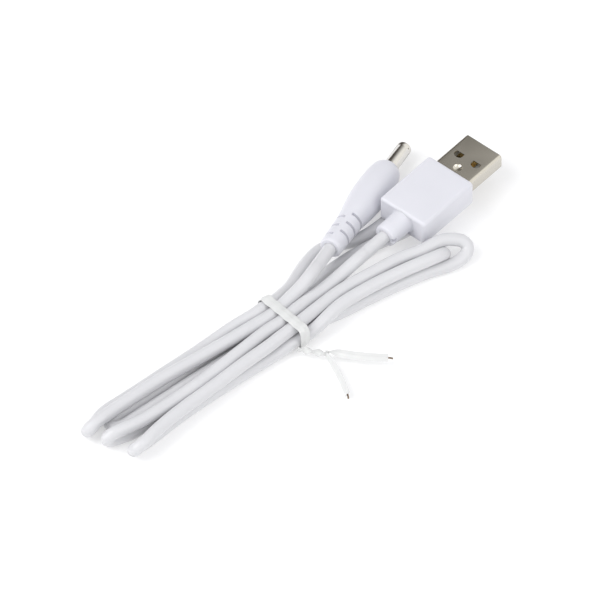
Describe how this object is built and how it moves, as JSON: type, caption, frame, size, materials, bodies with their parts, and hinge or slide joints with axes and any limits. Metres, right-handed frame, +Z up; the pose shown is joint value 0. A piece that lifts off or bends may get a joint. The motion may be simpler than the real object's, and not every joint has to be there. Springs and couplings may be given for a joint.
{
  "type": "charging cable",
  "caption": "White charging cable with a USB-A plug and a DC barrel plug, folded into a hank and held by a white twist tie.",
  "frame": {"origin": "under the middle of the whole folded cable, on the surface that it lies on", "axes": "+X along the hank towards the two plugs, +Z up"},
  "size_m": [0.1448, 0.0574, 0.0113],
  "materials": {
    "white_cable": "satin",
    "white_moulding": "satin",
    "shell_nickel": "satin",
    "barrel_nickel": "polished",
    "contact_gold": "polished",
    "copper_strand": "bright",
    "tongue_white": "satin",
    "insulator_black": "satin",
    "inner_natural": "matte",
    "core_red": "satin",
    "core_black": "satin",
    "tie_plastic": "gloss",
    "tie_wire": "dull"
  },
  "bodies": {
    "hank": {"cable_hank": "white_cable", "cable_side_loop": "white_cable", "usb_lead": "white_cable", "dc_lead": "white_cable", "tie_band": "tie_plastic", "tie_twist": "tie_plastic"},
    "usb_plug": {"usb_shell": "shell_nickel", "usb_tongue": "tongue_white", "usb_contact_1": "contact_gold", "usb_contact_2": "contact_gold", "usb_contact_3": "contact_gold", "usb_contact_4": "contact_gold", "usb_inner_mould": "inner_natural", "usb_overmould": "white_moulding", "usb_cable_end": "white_cable", "usb_red_core_insulation": "core_red", "usb_red_core_conductor": "copper_strand", "usb_black_core_insulation": "core_black", "usb_black_core_conductor": "copper_strand"},
    "dc_plug": {"dc_barrel": "barrel_nickel", "dc_insulator": "insulator_black", "dc_centre_contact": "contact_gold", "dc_inner_mould": "inner_natural", "dc_overmould": "white_moulding", "dc_cable_end": "white_cable", "dc_red_core_insulation": "core_red", "dc_red_core_conductor": "copper_strand", "dc_black_core_insulation": "core_black", "dc_black_core_conductor": "copper_strand"},
    "tie_tail_1": {"tie_tail_1": "tie_plastic", "tie_wire_end_1": "tie_wire"},
    "tie_tail_2": {"tie_tail_2": "tie_plastic", "tie_wire_end_2": "tie_wire"}
  },
  "joints": [
    {"name": "usb_plug_bend", "type": "hinge", "parent": "hank", "child": "usb_plug", "pos_m": [0.02888, 0.0038, 0.0074], "axis": [0.1305, -0.9914, 0], "range_deg": [0, 60]},
    {"name": "dc_plug_bend", "type": "hinge", "parent": "hank", "child": "dc_plug", "pos_m": [0.01566, 0.00919, 0.00791], "axis": [0.3746, -0.9272, 0], "range_deg": [0, 60]},
    {"name": "tie_tail_1_bend", "type": "hinge", "parent": "hank", "child": "tie_tail_1", "pos_m": [-0.00212, -0.01283, 0.0024], "axis": [0, 0, 1], "range_deg": [-15, 45]},
    {"name": "tie_tail_2_bend", "type": "hinge", "parent": "hank", "child": "tie_tail_2", "pos_m": [-0.00457, -0.01489, 0.0024], "axis": [0, 0, 1], "range_deg": [-60, 15]}
  ]
}
